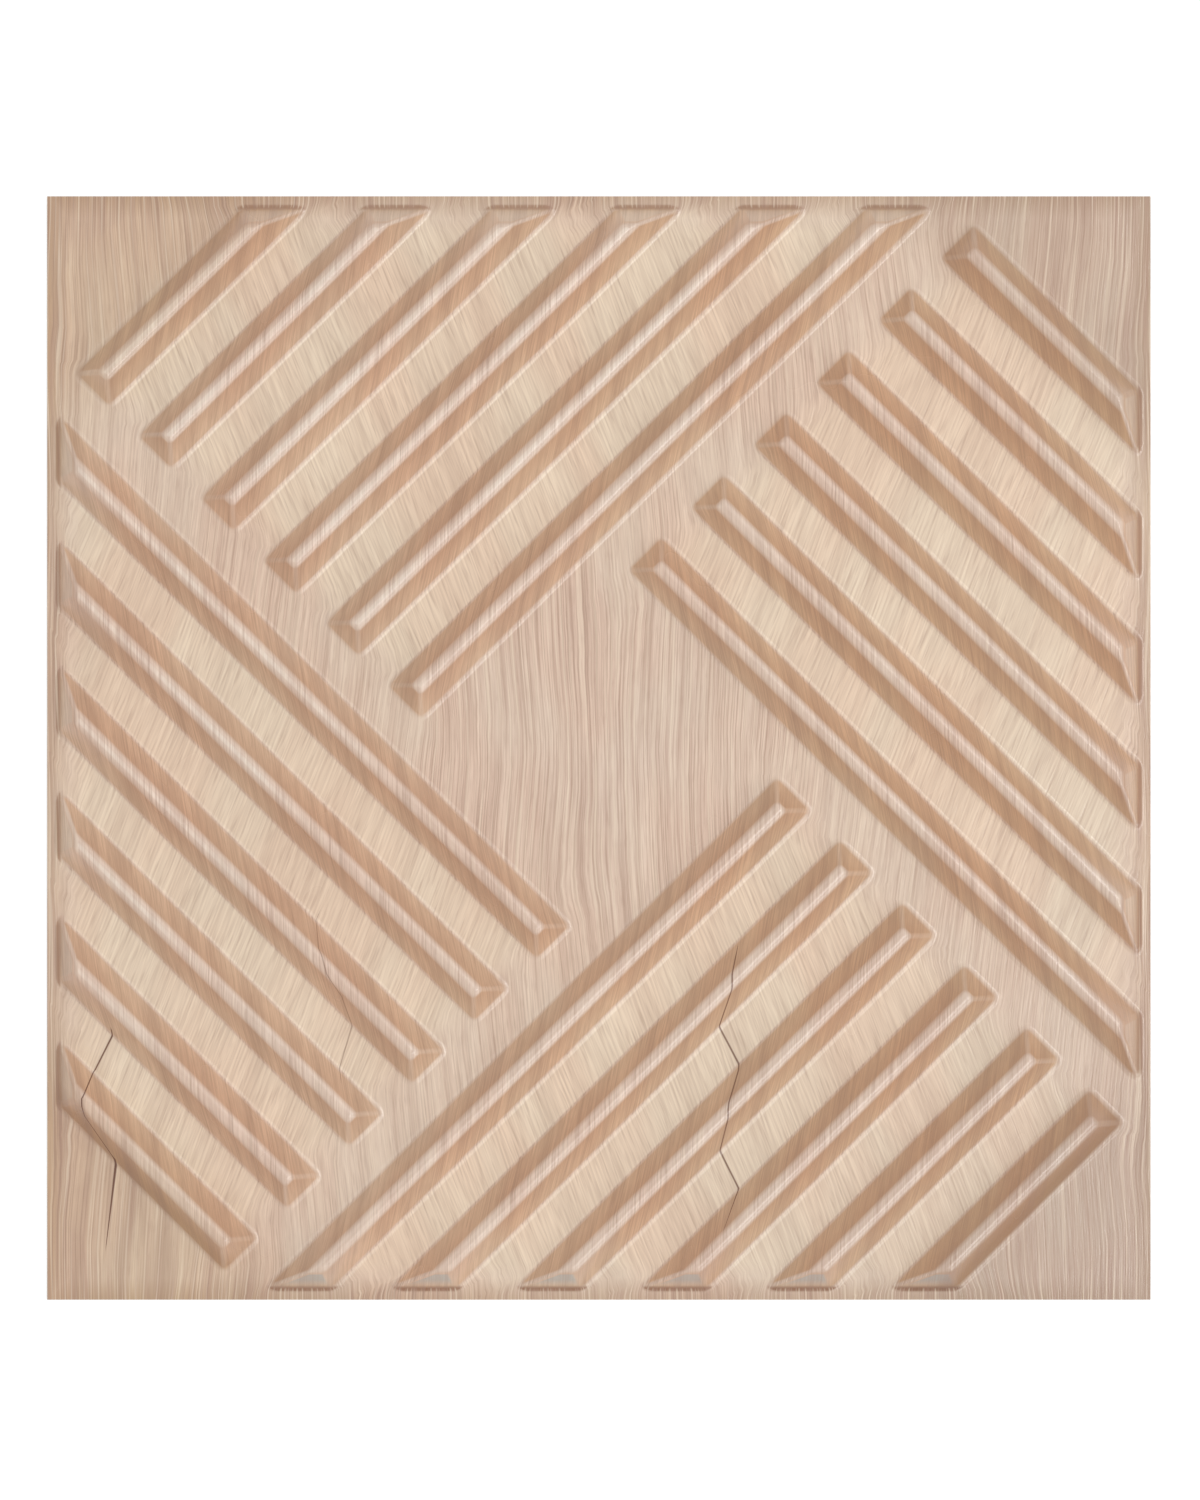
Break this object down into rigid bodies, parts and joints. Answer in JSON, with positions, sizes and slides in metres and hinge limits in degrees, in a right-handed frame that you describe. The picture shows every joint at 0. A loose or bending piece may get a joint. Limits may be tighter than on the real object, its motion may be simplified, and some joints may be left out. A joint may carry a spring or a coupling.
{
  "type": "3d wall panel tile",
  "caption": "Square thin formed plastic wall panel tile, printed with wood grain, with four pinwheel groups of raised hollow diagonal ribs.",
  "frame": {"origin": "middle of the tile's flat back, in the plane of the back", "axes": "+Z out of the face, +Y towards the edge that is up on the wall, +X to the right seen from the front"},
  "size_m": [0.5, 0.5, 0.012],
  "materials": {
    "printed_sheet": "satin"
  },
  "bodies": {
    "root": {"panel_sheet": "printed_sheet"}
  },
  "joints": []
}
